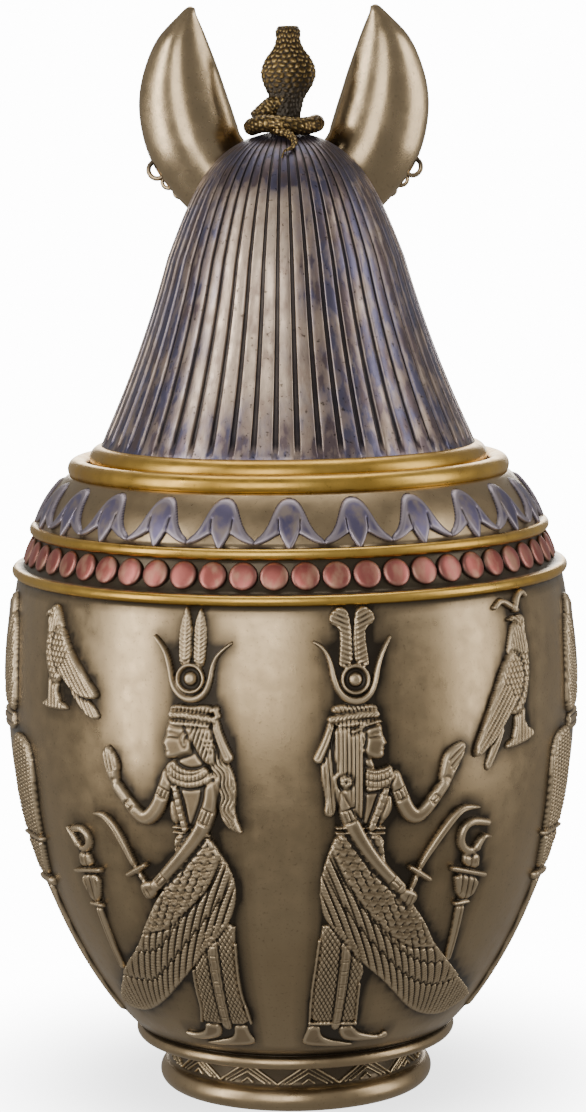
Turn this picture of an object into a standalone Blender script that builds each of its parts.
"""A jackal-headed canopic jar: a hollow footed jar with carved figures, a lift-off lid and its cobra.

Units are metres. +Z is up, the origin is the middle of the underside, the jackal looks along +Y
and the side with the two goddesses is the back, along -Y.
"""

import math

import bmesh
import bpy
from mathutils import Matrix, Vector

MM = 0.001

# Foot and body of the jar
BASE_RADIUS = 27.7 * MM
FOOT_ROLL_HEIGHT = 6.2 * MM
FOOT_ROLL_BULGE = 3.8 * MM
ZIGZAG_BAND_HEIGHT = 6.0 * MM
FLANGE_HEIGHT = 3.6 * MM
FLANGE_RADIUS = 39.4 * MM
FLANGE_LIP = 0.9 * MM
BELLY_RADIUS = 69.6 * MM
BELLY_RISE = 81.2 * MM
SHOULDER_RISE = 31.9 * MM
SHOULDER_DROP = 3.3 * MM
BEAD_BAND_HEIGHT = 10.0 * MM
BEAD_BAND_SINK = 1.2 * MM
LOTUS_BAND_HEIGHT = 12.8 * MM
LOTUS_BAND_SPREAD = 8.2 * MM
LOWER_RING_WIRE = 1.25 * MM
LOWER_RING_OUT = 0.35 * MM
UPPER_RING_WIRE = 1.35 * MM
WALL = 4.0 * MM
FLOOR = 4.0 * MM

# Rim, seat and lid
LID_RADIUS = 48.5 * MM
RIM_GAP = 0.3 * MM
RIM_WIRE = 2.5 * MM
RIM_LIFT = 1.7 * MM
SEAT_DEPTH = 0.9 * MM
SEAT_WIDTH = 5.5 * MM
PLUG_DEPTH = 6.8 * MM
PLUG_CLEARANCE = 0.6 * MM
REST_GAP = 0.3 * MM
LID_RING_HEIGHT = 6.1 * MM

# Wig, ears and head of the lid
WIG_STEP = 2.8 * MM
WIG_HEIGHT = 75.6 * MM
PLEAT_DEPTH = 1.2 * MM
EAR_HEIGHT = 49.0 * MM
EAR_WALL = 2.6 * MM
HEAD_LENGTH = 50.0 * MM

# Cobra on the crown
COIL_RADIUS = 7.7 * MM
COIL_WIRE = 2.0 * MM
COBRA_HEIGHT = 25.2 * MM
TAIL_GAP = 0.4 * MM

# Carving
FIGURE_GROUND = 2.4 * MM
FIGURE_CLEARANCE = 1.7 * MM
RELIEF_UNIT = 1.0 * MM
RELIEF_ROOT = 2.0 * MM
PANEL_ROOT = 5.0 * MM
BEND_STEP_ROUND = 12.5 * MM
BEND_STEP_UP = 17.0 * MM
BEND_TOUCH = 0.001 * MM
BEAD_MARGIN = 1.6 * MM
BEAD_GAP = 0.26 * MM
BEAD_ROOT = 0.4 * MM
BEAD_RISE = 1.3 * MM
LOTUS_MARGIN = 0.6 * MM
LOTUS_RISE = 0.9 * MM
CHEVRON_MARGIN = 0.4 * MM
CHEVRON_WIDTH = 0.9 * MM
CHEVRON_RISE = 0.9 * MM

# Counts
JAR_STEPS = 32
BEADS = 56
LOTUS_FLOWERS = 24
PLEATS = 54
CHEVRONS = 13

# The figures are drawn on a grid of 109 units up and a round of 69.6 units in radius
FIGURE_GRID = 109.0
BELLY_GRID = 69.6
EAR_GRID = 49.0
HEAD_GRID = 50.0
COBRA_GRID = 25.2

# Heights and radii that follow from the sizes above
ZIGZAG_Z = FOOT_ROLL_HEIGHT
FLANGE_Z = ZIGZAG_Z + ZIGZAG_BAND_HEIGHT
BODY_Z = FLANGE_Z + FLANGE_HEIGHT
BELLY_Z = BODY_Z + BELLY_RISE
SHOULDER_Z = BELLY_Z + SHOULDER_RISE
UPPER_RING_Z = SHOULDER_Z + BEAD_BAND_HEIGHT
LEDGE_Z = UPPER_RING_Z + LOTUS_BAND_HEIGHT
RIM_Z = LEDGE_Z + RIM_LIFT
SEAT_Z = RIM_Z - SEAT_DEPTH
LID_Z = SEAT_Z + REST_GAP
WIG_Z = LID_Z + LID_RING_HEIGHT - 0.4 * MM
CROWN_Z = WIG_Z + WIG_HEIGHT

RIM_RADIUS = LID_RADIUS + RIM_GAP + RIM_WIRE
MOUTH_RADIUS = LID_RADIUS - SEAT_WIDTH
WIG_RADIUS = LID_RADIUS - WIG_STEP
SHOULDER_RADIUS = BELLY_RADIUS - SHOULDER_DROP
UPPER_RING_RADIUS = RIM_RADIUS + RIM_WIRE + LOTUS_BAND_SPREAD
BODY_FOOT_RADIUS = FLANGE_RADIUS - FLANGE_LIP
BEAD_REACH = 0.5 * (SHOULDER_RADIUS + UPPER_RING_RADIUS) - BEAD_BAND_SINK
BEAD_RADIUS = min(0.5 * BEAD_BAND_HEIGHT - BEAD_MARGIN, math.pi * BEAD_REACH / BEADS - 0.5 * BEAD_GAP)
FIGURE_HEIGHT = BELLY_RISE + SHOULDER_RISE - FIGURE_GROUND - FIGURE_CLEARANCE


def mix(low, high, share):
    return low + (high - low) * share


def lower_body_radius(z):
    """The body swells from the flange to the belly."""
    share = (z - BODY_Z) / BELLY_RISE
    swell = (1.0 - (1.0 - share) ** 2) ** 0.86
    return mix(BODY_FOOT_RADIUS, BELLY_RADIUS, swell)


def upper_body_radius(z):
    share = (z - BELLY_Z) / SHOULDER_RISE
    return BELLY_RADIUS - SHOULDER_DROP * share ** 2


def bead_band_radius(z):
    share = (z - SHOULDER_Z) / BEAD_BAND_HEIGHT
    return mix(SHOULDER_RADIUS, UPPER_RING_RADIUS, share) - BEAD_BAND_SINK * math.sin(math.pi * share)


def lotus_band_radius(z):
    share = (z - UPPER_RING_Z) / LOTUS_BAND_HEIGHT
    return UPPER_RING_RADIUS - LOTUS_BAND_SPREAD * (0.6 * share + 0.4 * share ** 3)


def body_radius(z):
    """Outer radius of the plain jar, without rings and carving."""
    if z < BELLY_Z:
        return lower_body_radius(max(z, BODY_Z))
    if z < SHOULDER_Z:
        return upper_body_radius(z)
    if z < UPPER_RING_Z:
        return bead_band_radius(z)
    return lotus_band_radius(min(z, LEDGE_Z))


def cavity_radius(z):
    """The wall is measured square to the surface."""
    step = 0.5 * MM
    slope = (body_radius(z + step) - body_radius(z - step)) / (2.0 * step)
    return body_radius(z) - WALL * math.sqrt(1.0 + slope ** 2)


def wig_radius(z):
    """Bell of the wig: a cone with a slight waist and a round crown."""
    share = min(max((z - WIG_Z) / WIG_HEIGHT, 0.0), 1.0)
    waist = 0.27 * max(0.0, share * (0.6 - share))
    return WIG_RADIUS * (1.0 - 0.62 * share - waist) * math.sqrt(1.0 - share ** 12)


def arc_points(centre_r, centre_z, radius, start, stop, count):
    """Points on an arc in the profile plane, with angles in degrees from outward, upward positive."""
    points = []
    for index in range(count):
        angle = math.radians(mix(start, stop, index / (count - 1)))
        points.append((centre_r + radius * math.cos(angle), centre_z + radius * math.sin(angle)))
    return points


def make_collection(name):
    collection = bpy.data.collections.new(name)
    bpy.context.scene.collection.children.link(collection)
    return collection


def make_material(name, colour, roughness, metallic):
    material = bpy.data.materials.new(name)
    material.use_nodes = True
    shader = material.node_tree.nodes["Principled BSDF"]
    shader.inputs["Base Color"].default_value = (*colour, 1.0)
    shader.inputs["Roughness"].default_value = roughness
    shader.inputs["Metallic"].default_value = metallic
    return material


def add_object(name, mesh, collection):
    item = bpy.data.objects.new(name, mesh)
    collection.objects.link(item)
    return item


def move_primitive(name, collection):
    """Name the primitive that was just added and move it to a collection."""
    item = bpy.context.object
    item.name = name
    for holder in list(item.users_collection):
        holder.objects.unlink(item)
    collection.objects.link(item)
    return item


def add_cutter(name, mesh, collection):
    """A solid that a Boolean joins to a part; it isn't a part itself."""
    item = add_object(name, mesh, collection)
    item.hide_render = True
    item.display_type = "WIRE"
    return item


def face_outwards(bm):
    """Make the faces of a closed solid agree and look out."""
    bmesh.ops.recalc_face_normals(bm, faces=bm.faces[:])
    if bm.calc_volume(signed=True) < 0.0:
        bmesh.ops.reverse_faces(bm, faces=bm.faces[:])


def mesh_from(bm, name):
    face_outwards(bm)
    mesh = bpy.data.meshes.new(name)
    bm.to_mesh(mesh)
    bm.free()
    return mesh


def lathe(name, profile, steps, collection):
    """Turn a profile of (radius, height) points around the Z axis."""
    bm = bmesh.new()
    corners = [bm.verts.new((radius, 0.0, height)) for radius, height in profile]
    for first, second in zip(corners, corners[1:]):
        bm.edges.new((first, second))
    mesh = bpy.data.meshes.new(name)
    bm.to_mesh(mesh)
    bm.free()
    item = add_object(name, mesh, collection)
    screw = item.modifiers.new("Turn", "SCREW")
    screw.steps = steps
    screw.render_steps = steps
    screw.use_merge_vertices = True
    screw.merge_threshold = 0.00001
    screw.use_smooth_shade = False
    return item


def join_carving(item, carving, solver):
    """EXACT leaves open edges where the thin relief meets the coarse lathe, so that uses MANIFOLD."""
    join = item.modifiers.new("Carving", "BOOLEAN")
    join.operation = "UNION"
    join.operand_type = "COLLECTION"
    join.collection = carving
    join.solver = solver


def loft(rings, name):
    """Skin closed rings of equally many points, with a flat cap on both ends."""
    bm = bmesh.new()
    rows = [[bm.verts.new(point) for point in ring] for ring in rings]
    count = len(rows[0])
    for lower, upper in zip(rows, rows[1:]):
        for index in range(count):
            following = (index + 1) % count
            bm.faces.new((lower[index], lower[following], upper[following], upper[index]))
    bm.faces.new(rows[0])
    bm.faces.new(rows[-1])
    return mesh_from(bm, name)


def tube(name, path, radii, collection):
    """A tapering tube along a path, as a curve turned into a welded mesh."""
    curve = bpy.data.curves.new(name, "CURVE")
    curve.dimensions = "3D"
    curve.bevel_depth = 1.0
    curve.bevel_resolution = 1
    curve.use_fill_caps = True
    spline = curve.splines.new("POLY")
    spline.points.add(len(path) - 1)
    for point, place, radius in zip(spline.points, path, radii):
        point.co = (*place, 1.0)
        point.radius = radius
    return mesh_of_curve(curve, name, collection)


def mesh_of_curve(curve, name, collection):
    guide = bpy.data.objects.new(name, curve)
    collection.objects.link(guide)
    evaluated = guide.evaluated_get(bpy.context.evaluated_depsgraph_get())
    mesh = bpy.data.meshes.new_from_object(evaluated)
    mesh.name = name
    bpy.data.objects.remove(guide)
    bpy.data.curves.remove(curve)
    bm = bmesh.new()
    bm.from_mesh(mesh)
    bmesh.ops.remove_doubles(bm, verts=bm.verts[:], dist=0.00001)
    face_outwards(bm)
    bm.to_mesh(mesh)
    bm.free()
    return mesh


def flat_outline(points, name, collection):
    """A filled outline in X and Y that is 1 mm thick, from -0.5 to 0.5 mm."""
    curve = bpy.data.curves.new(name, "CURVE")
    curve.dimensions = "2D"
    curve.fill_mode = "BOTH"
    curve.extrude = 0.5 * MM
    spline = curve.splines.new("POLY")
    spline.points.add(len(points) - 1)
    for point, place in zip(spline.points, points):
        point.co = (place[0], place[1], 0.0, 1.0)
    spline.use_cyclic_u = True
    return mesh_of_curve(curve, name, collection)


def cut_places(values, step):
    """Evenly spaced cuts that leave no stretch longer than step."""
    low, high = min(values), max(values)
    count = math.ceil((high - low) / step)
    return [mix(low, high, (index + 1) / count) for index in range(count - 1)]


def cut_for_bending(bm):
    """Cut a flat solid into strips and bands, so that it can follow a curved surface."""
    lines = []
    wide = max(corner.co.x for corner in bm.verts) - min(corner.co.x for corner in bm.verts)
    steps = (BEND_STEP_ROUND, BEND_STEP_UP) if wide > 1.6 * BEND_STEP_ROUND else (wide + MM, BEND_STEP_UP)
    for axis, step in enumerate(steps):
        for value in cut_places([corner.co[axis] for corner in bm.verts], step):
            lines.append((axis, value))
            place = Vector((0.0, 0.0, 0.0))
            place[axis] = value
            normal = Vector((0.0, 0.0, 0.0))
            normal[axis] = 1.0
            everything = bm.verts[:] + bm.edges[:] + bm.faces[:]
            bmesh.ops.bisect_plane(bm, geom=everything, plane_co=place, plane_no=normal, dist=BEND_TOUCH)
    spare = []
    for edge in bm.edges:
        first, second = (corner.co for corner in edge.verts)
        on_line = any(
            max(abs(first[axis] - value), abs(second[axis] - value)) < 2.0 * BEND_TOUCH
            for axis, value in lines
        )
        flat = all(abs(face.normal.z) > 0.9 for face in edge.link_faces)
        if flat and not on_line:
            spare.append(edge)
    bmesh.ops.dissolve_edges(bm, edges=spare, use_verts=False, use_face_split=False)


def carve(name, points, rise, place_on, collection, root=RELIEF_ROOT):
    """Lay a flat outline on a curved surface, raised by rise and rooted under it."""
    mesh = flat_outline(points, name, collection)
    bm = bmesh.new()
    bm.from_mesh(mesh)
    bm.normal_update()
    cut_for_bending(bm)
    for corner in bm.verts:
        lift = rise if corner.co.z > 0.0 else -root
        corner.co = place_on(corner.co.x, corner.co.y, lift)
    face_outwards(bm)
    bm.to_mesh(mesh)
    bm.free()
    return add_cutter(name, mesh, collection)


def on_jar(x, z, lift):
    """x runs round the belly from the middle of the back, positive to the right seen from there."""
    angle = x / BELLY_RADIUS
    radius = body_radius(z) + lift
    return Vector((radius * math.sin(angle), -radius * math.cos(angle), z))


def on_wig(x, z, lift):
    """x runs round the foot of the wig from the middle of its front, positive to the jackal's left."""
    angle = x / WIG_RADIUS
    radius = wig_radius(z) + lift
    return Vector((-radius * math.sin(angle), radius * math.cos(angle), z))


def ribbon(path):
    """Outline of a band along a path of (x, y, half width)."""
    left = []
    right = []
    for index, (x, y, half) in enumerate(path):
        before = path[max(index - 1, 0)]
        after = path[min(index + 1, len(path) - 1)]
        run = math.hypot(after[0] - before[0], after[1] - before[1])
        across_x = -(after[1] - before[1]) / run
        across_y = (after[0] - before[0]) / run
        left.append((x + across_x * half, y + across_y * half))
        right.append((x - across_x * half, y - across_y * half))
    return left + right[::-1]


def disc(x, y, radius, sides):
    """A round outline, turned so that no corner is straight up."""
    points = []
    for index in range(sides):
        angle = math.tau * (index + 0.3) / sides
        points.append((x + radius * math.cos(angle), y + radius * math.sin(angle)))
    return points


def figure_body():
    """Outlines and rises of a striding goddess in a feather dress, facing right."""
    return {
        "skirt": ([(-7.5, 30), (-9.4, 15.8), (-8.2, 8), (6.4, 7.6), (6.5, 21), (4, 31)], 1.1),
        "back_foot": ([(-8.6, 8.8), (-10.8, 2.4), (-10.2, 0.6), (8.4, 0), (1.2, 5.2), (-1.6, 8.9)], 0.9),
        "front_foot": ([(1, 9), (2, 3.4), (9, 1), (22, 0.8), (23, 2.8), (12, 5), (7, 8.8)], 1.25),
        "wing": (
            [(-6.5, 54), (-8.4, 48), (-7.7, 38), (0, 29.6), (8, 22), (18, 14.2), (26, 10), (35, 6.7)]
            + [(54, 4.6), (56, 9.3), (34, 22), (24, 29.5), (17.2, 39), (12, 46.5), (6, 55)],
            1.45,
        ),
        "torso": ([(-5, 69), (3, 72), (9.2, 70.5), (9.4, 62), (6.6, 56), (6.4, 52), (-3.4, 52)], 1.6),
        "hair": ([(-8.8, 75), (-4.7, 83.6), (3.5, 84.2), (4.5, 76), (1.6, 71), (2.2, 61), (-5, 60.7)], 1.8),
        "face": (
            [(0.8, 84), (6.2, 84), (6.6, 80.6), (8.3, 78.6), (7.3, 76), (6.9, 74), (4, 73), (3.4, 69)],
            1.5,
        ),
        "band": ([(-5.3, 83.8), (5.6, 84), (5.2, 87.7), (-5.2, 87.5)], 1.95),
        "disc": (disc(0.8, 92.8, 3.6, 8), 1.35),
        "horns": (
            ribbon([(-9.2, 102, 0.4), (-5.2, 97, 0.9), (-4, 90.4, 1.2), (0.8, 87.8, 1.2), (5.6, 90.4, 1.2)]
                   + [(6.4, 97, 0.9), (9.6, 102, 0.4)]),
            1.65,
        ),
        "raised_arm": (
            ribbon([(7, 70, 2.2), (14.3, 57.8, 2.1), (20.2, 66, 1.6), (23, 71, 1.8), (26.4, 76.6, 0.9)]),
            1.9,
        ),
        "lowered_arm": (
            ribbon([(-4.6, 68.5, 2.3), (-1.2, 58, 2.2), (5, 50.4, 2.0), (12, 44.3, 1.5), (17, 41, 1.9)]),
            2.1,
        ),
        "knife": (ribbon([(14.4, 42, 0.8), (18, 48, 0.9), (25, 59, 1.3), (32, 60.4, 0.6)]), 1.7),
    }


def plain_figure():
    """The same goddess in fewer outlines, for the side that the jackal faces."""
    return {
        "figure": (
            [(-10.5, 0.4), (20, 0.4), (6.4, 6), (6.5, 22), (35, 6.7), (56, 6), (24, 29.5), (12, 46.5)]
            + [(9.3, 70.5), (8.3, 78.6), (6, 87.5), (-5, 87.5), (-8.8, 75), (-5, 60), (-8.4, 46)],
            1.3,
        ),
        "crown": (
            [(-9.2, 102), (-4, 87), (5, 87), (9.6, 102), (4.5, 98), (3, 108.6), (-3, 108.6), (-4, 98)],
            1.45,
        ),
        "arm": (ribbon([(7, 70, 2.2), (14.3, 57.8, 2.1), (22, 69, 1.7), (26.4, 76.6, 0.9)]), 1.7),
    }


def pointed_plumes():
    return {
        "plume_front": (ribbon([(1.6, 93, 1), (2.4, 101, 1.8), (2.7, 106, 1.5), (2.4, 109, 0.3)]), 1.2),
        "plume_back": (ribbon([(-1.8, 93, 1), (-1.9, 101, 1.8), (-2, 105, 1.5), (-1.7, 108.4, 0.3)]), 1.15),
    }


def flared_plumes():
    return {
        "plume_front": (ribbon([(2, 93, 1.4), (2.2, 104, 1.4), (4.4, 107.6, 2.3), (3.8, 109, 1.2)]), 1.2),
        "plume_back": (
            ribbon([(-1.6, 93, 1.4), (-1.8, 104, 1.4), (-4.4, 107.4, 2.3), (-3.6, 109, 1.2)]),
            1.15,
        ),
    }


def lotus_sceptre():
    """A staff with a ring head on a lotus capital, 50 units tall, leaning as it is carried."""
    return {
        "staff": (ribbon([(2, 0, 1.4), (-0.6, 14.5, 1.9), (-1, 16, 3)]), 1.1),
        "capital": ([(-4, 15.6), (2.4, 16.4), (4, 23), (-7.4, 24.6)], 1.45),
        "neck": ([(-4.4, 24), (1.4, 23.2), (2, 29.4), (-5, 30.6)], 1.25),
        "head": (disc(-1.2, 32.6, 4.2, 8), 1.6),
    }


def falcon():
    """A standing falcon, 24 units tall, facing right."""
    return {
        "body": (
            [(-2, 17.6), (1.5, 22.6), (4.6, 22), (5.6, 20.2), (6, 8), (2.4, 5), (-3.4, 0.8), (-6.4, 1.6)]
            + [(-14.4, 6.4), (-9, 12.4)],
            1.5,
        ),
        "legs": ([(0, 6), (5.4, 7), (5.8, 2.2), (7.2, 1.2), (7, 0), (-1.6, 0), (-1, 2)], 1.15),
    }


def crowned_falcon():
    """A taller, slimmer falcon with a forked crown, 33 units tall, facing right."""
    return {
        "body": (
            [(-2.4, 22), (0, 26.6), (2.2, 29.8), (5, 28.6), (4.6, 26.2), (5.6, 21), (5.2, 14), (2.6, 8)]
            + [(-3, 4.6), (-9, -1.8), (-15.4, 0.8), (-9.2, 10)],
            1.5,
        ),
        "legs": ([(-1, 8), (3.4, 8.6), (2.8, 3.6), (6.8, 1), (6.4, -0.4), (-3.8, 3.2), (-1.2, 4.8)], 1.15),
        "crown": (
            ribbon([(-4.4, 33, 0.5), (-1.6, 32.6, 0.7), (1.2, 30, 0.9), (4, 31.8, 0.7), (6.8, 33.2, 0.5)]),
            1.2,
        ),
    }


def feather_fan():
    """A long-handled feather fan, 67 units tall."""
    return {
        "pole": (ribbon([(1, 0, 1.4), (0, 33, 1.3)]), 1.0),
        "fan": ([(-2, 32), (2.2, 32), (6, 44), (8.4, 66), (-3, 68), (-5, 46)], 1.45),
    }


def perched_bird():
    """A bird on a low stand, 33 units tall, facing right."""
    return {
        "bird": ([(-6, 6), (-4, 22), (0, 31), (4.4, 32.6), (7.6, 29.6), (6.4, 20), (4, 8), (-1, 5)], 1.3),
        "stand": ([(-5, 0), (7, 0), (6, 6.4), (-4, 6.8)], 1.0),
    }


def place_drawing(drawing, name, x, z, side, collection):
    """Carve each outline of a drawing on the jar; side is 1 as drawn and -1 mirrored."""
    wide = BELLY_RADIUS / BELLY_GRID
    tall = FIGURE_HEIGHT / FIGURE_GRID
    ground = BODY_Z + FIGURE_GROUND
    for part, (points, rise) in drawing.items():
        outline = [((x + side * across) * wide, ground + (z + up) * tall) for across, up in points]
        carve(f"{name}_{part}", outline, rise * RELIEF_UNIT, on_jar, collection)


def carve_scene(collection):
    """The back shows the pair of goddesses; the front repeats it mirrored."""
    half_round = math.pi * BELLY_GRID
    figures = (
        ("tall_plumes", pointed_plumes(), -22.5, -1),
        ("flared_plumes", flared_plumes(), 14.0, 1),
    )
    for name, plumes, x, side in figures:
        place_drawing({**figure_body(), **plumes}, name, x, 0.0, side, collection)
        place_drawing(plain_figure(), f"front_{name}", half_round - x, 0.0, -side, collection)
    motifs = (
        ("sceptre_left", lotus_sceptre(), -58.0, 20, -1),
        ("sceptre_right", lotus_sceptre(), 47.6, 22.6, 1),
        ("falcon_left", falcon(), -61.6, 83, -1),
        ("falcon_right", crowned_falcon(), 58.6, 72, 1),
        ("fan_left", feather_fan(), -84.0, 5, 1),
        ("fan_right", feather_fan(), 84.0, 5, -1),
        ("bird_left", perched_bird(), -91.0, 74, -1),
        ("bird_right", perched_bird(), 91.0, 72, 1),
    )
    for name, drawing, x, z, side in motifs:
        place_drawing(drawing, name, x, z, side, collection)
    for name, drawing, x, z, side in motifs[:6]:
        place_drawing(drawing, f"front_{name}", half_round - x, z, -side, collection)


def carve_beads(collection):
    """Low pointed studs, smooth shaded as beads, between the two gold rings and square to the band."""
    bm = bmesh.new()
    middle = SHOULDER_Z + 0.5 * BEAD_BAND_HEIGHT
    lean = math.atan2(SHOULDER_RADIUS - UPPER_RING_RADIUS, BEAD_BAND_HEIGHT)
    for index in range(BEADS):
        angle = math.tau * (index + 0.5) / BEADS
        outward = Matrix.Rotation(angle, 4, "Z") @ Matrix.Translation((0.0, -body_radius(middle), middle))
        facing = Matrix.Rotation(math.radians(90.0) - lean, 4, "X")
        push = Matrix.Translation((0.0, 0.0, 0.5 * (BEAD_RISE - BEAD_ROOT)))
        bmesh.ops.create_cone(
            bm,
            cap_ends=True,
            segments=7,
            radius1=(1.0 + BEAD_ROOT / BEAD_RISE) * BEAD_RADIUS,
            radius2=0.0,
            depth=BEAD_RISE + BEAD_ROOT,
            matrix=outward @ facing @ push,
        )
    add_cutter("beads", mesh_from(bm, "beads"), collection)


def lotus_outline(width, height):
    """A flower with a round top, a pointed middle petal and side petals that sweep to its neighbours."""
    right = [(0.34, 0.96), (0.54, 0.5), (0.96, 0.06), (0.28, 0.26), (0.06, 0.0)]
    left = [(-across, up) for across, up in right[::-1]]
    return [(across * width, up * height) for across, up in right + left]


def carve_lotus_band(collection):
    """Copies of one flower round the shoulder."""
    pitch = math.tau / LOTUS_FLOWERS
    start = UPPER_RING_Z + 0.7 * UPPER_RING_WIRE
    height = LEDGE_Z - LOTUS_MARGIN - start
    outline = lotus_outline(0.5 * pitch * BELLY_RADIUS, height)
    raised = [(across, start + up) for across, up in outline]
    first = carve("lotus", raised, LOTUS_RISE, on_jar, collection)
    bm = bmesh.new()
    for index in range(LOTUS_FLOWERS):
        bm.from_mesh(first.data)
        count = len(first.data.vertices)
        bmesh.ops.rotate(bm, verts=bm.verts[-count:], matrix=Matrix.Rotation(index * pitch, 3, "Z"))
    bm.to_mesh(first.data)
    bm.free()


def carve_chevrons(collection):
    """A zigzag moulding between the foot roll and the flange."""
    radius = BASE_RADIUS + 0.8 * FOOT_ROLL_BULGE
    pitch = math.tau / CHEVRONS
    low = ZIGZAG_Z + CHEVRON_MARGIN
    high = FLANGE_Z - CHEVRON_MARGIN
    half = 0.48 * pitch * radius
    inner = half - 2.0 * CHEVRON_WIDTH
    inner_peak = high - 1.6 * CHEVRON_WIDTH
    outline = [(-half, low), (0.0, high), (half, low), (inner, low), (0.0, inner_peak), (-inner, low)]

    def on_foot(x, z, lift):
        angle = x / radius
        return Vector(((radius + lift) * math.sin(angle), -(radius + lift) * math.cos(angle), z))

    first = carve("chevrons", outline, CHEVRON_RISE, on_foot, collection)
    bm = bmesh.new()
    for index in range(CHEVRONS):
        bm.from_mesh(first.data)
        count = len(first.data.vertices)
        turn = Matrix.Rotation((index + 0.2) * pitch, 3, "Z")
        bmesh.ops.rotate(bm, verts=bm.verts[-count:], matrix=turn)
    bm.to_mesh(first.data)
    bm.free()


def jar_profile():
    """From the middle of the cavity floor up the inside, over the rim and down the outside."""
    cavity_floor = BODY_Z + FLOOR
    cavity_top = SEAT_Z - WALL
    band_radius = BASE_RADIUS + 0.8 * FOOT_ROLL_BULGE
    roll_radius = 0.5 * FOOT_ROLL_HEIGHT
    inside = [(0.0, cavity_floor)]
    for share in (0.0, 0.12, 0.35, 0.7, 1.0):
        z = mix(cavity_floor, cavity_top, share)
        inside.append((cavity_radius(z), z))
    mouth = [(MOUTH_RADIUS, cavity_top), (MOUTH_RADIUS, SEAT_Z)]
    inner_rim = RIM_RADIUS - math.sqrt(RIM_WIRE ** 2 - SEAT_DEPTH ** 2)
    rim = [(inner_rim, SEAT_Z)] + arc_points(RIM_RADIUS, RIM_Z, RIM_WIRE, 140.0, -40.0, 5)
    shoulder = [(lotus_band_radius(LEDGE_Z), LEDGE_Z)]
    for share in (0.7, 0.4):
        z = mix(UPPER_RING_Z, LEDGE_Z, share)
        shoulder.append((lotus_band_radius(z), z))
    upper_ring = arc_points(UPPER_RING_RADIUS, UPPER_RING_Z, UPPER_RING_WIRE, 80.0, -80.0, 3)
    middle = SHOULDER_Z + 0.5 * BEAD_BAND_HEIGHT
    band = [(bead_band_radius(middle), middle)]
    lower_ring = arc_points(SHOULDER_RADIUS + LOWER_RING_OUT, SHOULDER_Z, LOWER_RING_WIRE, 80.0, -80.0, 3)
    body = []
    for share in (0.55, 0.2):
        z = mix(BELLY_Z, SHOULDER_Z, share)
        body.append((upper_body_radius(z), z))
    for share in (0.85, 0.62, 0.43, 0.27, 0.14, 0.05, 0.0):
        z = mix(BODY_Z, BELLY_Z, share)
        body.append((lower_body_radius(z), z))
    edge = 0.25 * FLANGE_HEIGHT
    flange = [
        (FLANGE_RADIUS - edge, BODY_Z),
        (FLANGE_RADIUS, BODY_Z - edge),
        (FLANGE_RADIUS - edge, FLANGE_Z + edge),
        (band_radius, FLANGE_Z),
    ]
    foot = [(band_radius, ZIGZAG_Z)]
    foot += arc_points(band_radius, roll_radius, roll_radius * 0.9, 50.0, -50.0, 4)
    underside = [(BASE_RADIUS, 0.0), (0.0, 0.0)]
    top = inside + mouth + rim + shoulder + upper_ring
    return top + band + lower_ring + body + flange + foot + underside


def make_jar(parts):
    carving = make_collection("jar carving")
    carve_scene(carving)
    carve_beads(carving)
    carve_lotus_band(carving)
    carve_chevrons(carving)
    jar = lathe("jar", jar_profile(), JAR_STEPS, parts)
    join_carving(jar, carving, "MANIFOLD")
    return jar


def lid_profile():
    """Plug, seat and round ring of the lid, from the middle of its top down its outside."""
    edge = LID_RADIUS - 0.3 * MM
    top = LID_Z + LID_RING_HEIGHT
    plug_radius = MOUTH_RADIUS - PLUG_CLEARANCE
    return [
        (0.0, top),
        (edge - 1.9 * MM, top),
        (edge - 0.4 * MM, top - 0.9 * MM),
        (edge + 0.3 * MM, top - 2.6 * MM),
        (edge, LID_Z + 1.6 * MM),
        (edge - 1.2 * MM, LID_Z),
        (plug_radius, LID_Z),
        (plug_radius, LID_Z - PLUG_DEPTH),
        (0.0, LID_Z - PLUG_DEPTH),
    ]


def pleated_ring(z, radius, depth):
    """Flat strips with a V groove between each two; one strip is in the middle of the back."""
    points = []
    pitch = math.tau / PLEATS
    for index in range(PLEATS):
        middle = index * pitch - 0.5 * math.pi
        for share, sink in ((-0.34, 0.0), (0.34, 0.0), (0.5, depth)):
            angle = middle + share * pitch
            reach = radius - sink
            points.append((reach * math.cos(angle), reach * math.sin(angle), z))
    return points


def wig_rings():
    """Rings of the pleated wig from inside the lid's ring to the crown."""
    rings = [pleated_ring(WIG_Z - 0.6 * MM, WIG_RADIUS, PLEAT_DEPTH)]
    for share in (0.18, 0.5, 0.8, 0.93):
        z = WIG_Z + share * WIG_HEIGHT
        depth = PLEAT_DEPTH * mix(1.0, 0.4, share)
        rings.append(pleated_ring(z, wig_radius(z), depth))
    crown = CROWN_Z - 0.012 * WIG_HEIGHT
    rings.append(pleated_ring(crown, wig_radius(crown), 0.1 * MM))
    return rings


def ear_root():
    """Where the jackal's left ear grows from the wig, a little in front of its middle."""
    radius = wig_radius(WIG_Z + 0.755 * WIG_HEIGHT)
    return Vector((0.71 * radius, 0.3 * radius, WIG_Z + 0.87 * WIG_HEIGHT))


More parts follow.
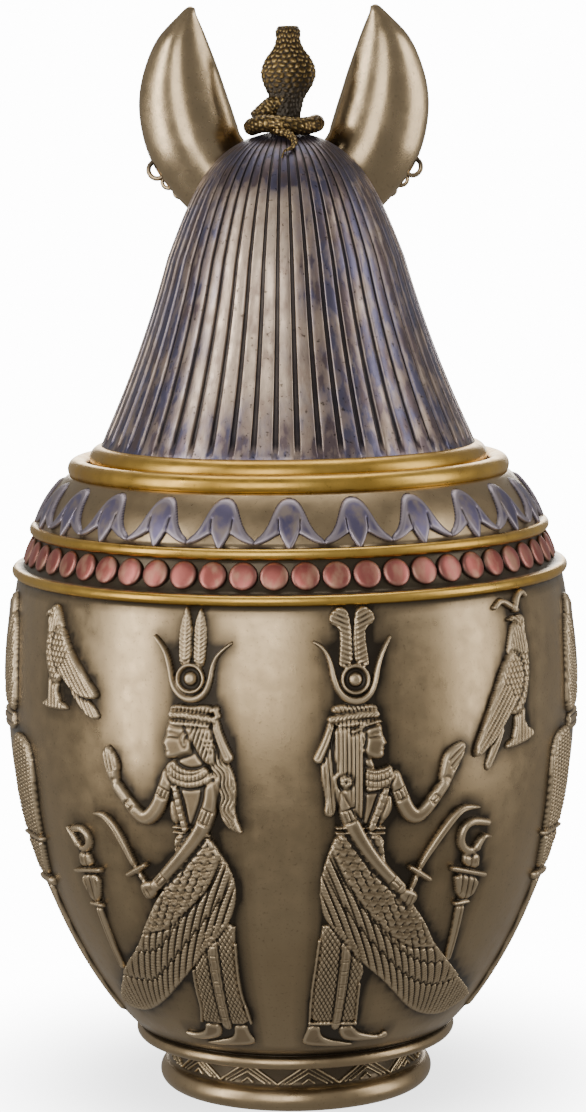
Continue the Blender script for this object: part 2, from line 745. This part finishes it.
def ear_rings():
    """Sections of the jackal's left ear: an open cup whose hollow looks forward."""
    unit = EAR_HEIGHT / EAR_GRID
    root = ear_root()
    inner_edge = [(-12, 2), (-6.8, 8.4), (-5.6, 11.4), (-4.4, 15.2), (-3, 19.4), (-1.5, 24)]
    inner_edge += [(0.3, 29), (2.2, 34), (4, 38.2)]
    outer_edge = [(1, -14), (6.8, -8.5), (12, -1.6), (17, 3.2), (18.4, 10.5), (18.1, 17.8)]
    outer_edge += [(16.7, 25), (13.5, 32.4), (8.4, 38)]
    rings = []
    for inner, outer in zip(inner_edge, outer_edge):
        chord = math.hypot(outer[0] - inner[0], outer[1] - inner[1])
        back = []
        front = []
        for index in range(5):
            share = index / 4
            bulge = math.sin(math.pi * share)
            across = mix(inner[0], outer[0], share) * unit
            up = mix(inner[1], outer[1], share) * unit
            deep = -0.26 * chord * bulge * unit
            wall = EAR_WALL * mix(0.45, 1.0, bulge) * min(1.0, chord / 12.0)
            back.append(root + Vector((across, deep, up)))
            front.append(root + Vector((across, deep + wall, up)))
        rings.append(back + front[::-1])
    tip = root + Vector((5.3 * unit, 0.0, 40.3 * unit))
    rings.append([tip + (point - rings[-1][0]) * 0.05 for point in rings[-1]])
    return rings


def mirrored(rings):
    return [[Vector((-point[0], point[1], point[2])) for point in ring] for ring in rings]


def ear_hoops(side, collection):
    """Three small rings moulded on the lower outer edge of each ear."""
    unit = EAR_HEIGHT / EAR_GRID
    root = ear_root()
    hoops = ((15.2, 0.6, 2.0, 0.55), (13.0, -2.2, 1.5, 0.45), (10.0, -4.4, 1.2, 0.4))
    for index, (x, z, radius, wire) in enumerate(hoops):
        place = (side * (root.x + x * unit), root.y + 0.6 * MM, root.z + z * unit)
        bpy.ops.mesh.primitive_torus_add(
            major_segments=8,
            minor_segments=4,
            major_radius=radius * unit,
            minor_radius=wire * unit,
            location=place,
            rotation=(math.radians(80.0), 0.0, side * math.radians(12.0)),
        )
        hoop = move_primitive(f"hoop_{index}_{side}", collection)
        hoop.hide_render = True
        hoop.display_type = "WIRE"


def head_rings():
    """Sections of a plain jackal's head, from inside the wig to the nose."""
    unit = HEAD_LENGTH / HEAD_GRID
    front = wig_radius(WIG_Z + 0.68 * WIG_HEIGHT)
    middle = WIG_Z + 0.62 * WIG_HEIGHT
    sections = (
        (-16, 15.0, 12.5, 5.5),
        (-5, 15.0, 12.5, 4.5),
        (2, 13.6, 11.4, 2.6),
        (7, 10.6, 9.4, 0.2),
        (12, 8.6, 8.0, -1.8),
        (19, 7.4, 6.9, -3.6),
        (24, 6.2, 5.8, -4.6),
        (26.5, 3.6, 3.4, -4.6),
    )
    rings = []
    for ahead, half_width, half_height, rise in sections:
        ring = []
        for index in range(12):
            angle = math.tau * index / 12
            across = half_width * unit * math.cos(angle)
            up = (rise + half_height * math.sin(angle)) * unit
            ring.append(Vector((across, front + ahead * unit, middle + up)))
        rings.append(ring)
    return rings


def carve_face_frame(collection):
    """A smooth breast panel under the jackal's head and the broad border of the wig round it."""
    low = WIG_Z + 0.3 * MM
    high = WIG_Z + 0.88 * WIG_HEIGHT
    panel = [(-21, 0), (21, 0), (20, 24), (15, 46), (-15, 46), (-20, 24)]
    carve("breast", [(x * MM, low + z * MM) for x, z in panel], 0.8 * MM, on_wig, collection, PANEL_ROOT)
    side_width = 2.4
    arch = [(24, 0), (23, 24), (24, 44), (27, 56), (20, 66), (0, 70)]
    path = [(x * MM, low + z * (high - low) / 70.0, side_width * MM) for x, z in arch]
    whole = path + [(-x, z, half) for x, z, half in path[-2::-1]]
    carve("wig_border", ribbon(whole), 1.7 * MM, on_wig, collection, PANEL_ROOT + 1.0 * MM)


def make_lid(parts):
    carving = make_collection("lid carving")
    add_cutter("wig", loft(wig_rings(), "wig"), carving)
    add_cutter("head", loft(head_rings(), "head"), carving)
    add_cutter("ear_left", loft(ear_rings(), "ear_left"), carving)
    add_cutter("ear_right", loft(mirrored(ear_rings()), "ear_right"), carving)
    for side in (-1, 1):
        ear_hoops(side, carving)
    carve_face_frame(carving)
    lid = lathe("lid", lid_profile(), JAR_STEPS, parts)
    join_carving(lid, carving, "MANIFOLD")
    return lid


def ellipse_ring(centre, half_width, half_depth, count):
    ring = []
    for index in range(count):
        angle = math.tau * index / count
        offset = Vector((half_width * math.cos(angle), half_depth * math.sin(angle), 0.0))
        ring.append(centre + offset)
    return ring


def hood_rings(base):
    """Sections of the raised neck and hood, widest in the middle."""
    unit = COBRA_HEIGHT / COBRA_GRID
    sections = (
        (0, 0.0, 4.0, 3.2, 0.0),
        (3.5, 0.4, 4.2, 3.0, 0.0),
        (6, 0.8, 4.6, 2.8, 0.0),
        (9, 1.1, 6.2, 2.7, 0.0),
        (12, 1.2, 6.8, 2.5, 0.0),
        (15, 1.2, 5.7, 2.4, 0.2),
        (17.5, 1.2, 3.9, 2.4, 0.6),
        (19.6, 1.2, 3.1, 2.8, 1.4),
        (21.6, 1.2, 3.2, 4.4, 3.2),
        (23.0, 1.2, 2.7, 4.0, 3.4),
    )
    rings = []
    for up, across, half_width, half_depth, ahead in sections:
        centre = base + Vector((across, ahead, up)) * unit
        rings.append(ellipse_ring(centre, half_width * unit, half_depth * unit, 10))
    return rings


def above_wig(x, z, height):
    """A point at a distance from the back of the wig, measured square to it."""
    step = 0.2 * MM
    slope = (wig_radius(z + step) - wig_radius(z - step)) / (2.0 * step)
    square = math.sqrt(1.0 + slope ** 2)
    reach = wig_radius(z) + height / square
    return Vector((x, -math.sqrt(reach ** 2 - x ** 2), z - height * slope / square))


def tail_path():
    """The tail leaves the coil at the back and lies on the wig, thinning to its tip."""
    places = ((-3.2, 1.0), (-1.2, 1.9), (1.2, 3.2), (2.5, 5.0), (1.4, 6.4), (-0.6, 7.2), (-1.2, 8.8))
    radii = (1.5, 1.4, 1.15, 0.9, 0.65, 0.45, 0.35)
    unit = COBRA_HEIGHT / COBRA_GRID
    path = []
    for (across, down), radius in zip(places, radii):
        path.append(above_wig(across * unit, CROWN_Z - down * unit, radius * unit + TAIL_GAP))
    return path, [radius * unit for radius in radii]


def make_cobra(parts):
    """A cobra whose coil rests on the crown, with a raised hood and a tail down the back of the wig."""
    coil_z = CROWN_Z + REST_GAP + COIL_WIRE
    carving = make_collection("cobra pieces")
    base = Vector((0.0, 0.0, coil_z))
    add_cutter("hood", loft(hood_rings(base), "hood"), carving)
    unit = COBRA_HEIGHT / COBRA_GRID
    way = ((0.0, 0.4, 4.6), (-3.4, -0.4, 3.0), (-6.6, -1.2, 0.8))
    descent = [base + Vector(place) * unit for place in way]
    body = tube("descent", descent, [2.6 * unit, 2.4 * unit, 2.0 * unit], carving)
    add_cutter("descent", body, carving)
    path, radii = tail_path()
    add_cutter("tail", tube("tail", path, radii, carving), carving)
    bpy.ops.mesh.primitive_torus_add(
        major_segments=22,
        minor_segments=8,
        major_radius=COIL_RADIUS,
        minor_radius=COIL_WIRE,
        location=(0.0, 0.0, coil_z),
    )
    cobra = move_primitive("cobra", parts)
    join_carving(cobra, carving, "EXACT")
    return cobra


def finish(item, material):
    item.data.materials.append(material)
    item.data.shade_smooth()
    item.data.set_sharp_from_angle(angle=math.radians(30.0))


def main():
    for item in list(bpy.data.objects):
        bpy.data.objects.remove(item, do_unlink=True)
    parts = make_collection("canopic jar")
    finish(make_jar(parts), make_material("antique bronze", (0.32, 0.27, 0.19), 0.42, 0.9))
    finish(make_lid(parts), make_material("bronze with a violet wash", (0.25, 0.22, 0.25), 0.45, 0.8))
    finish(make_cobra(parts), make_material("antique gold", (0.5, 0.36, 0.14), 0.4, 0.9))


main()
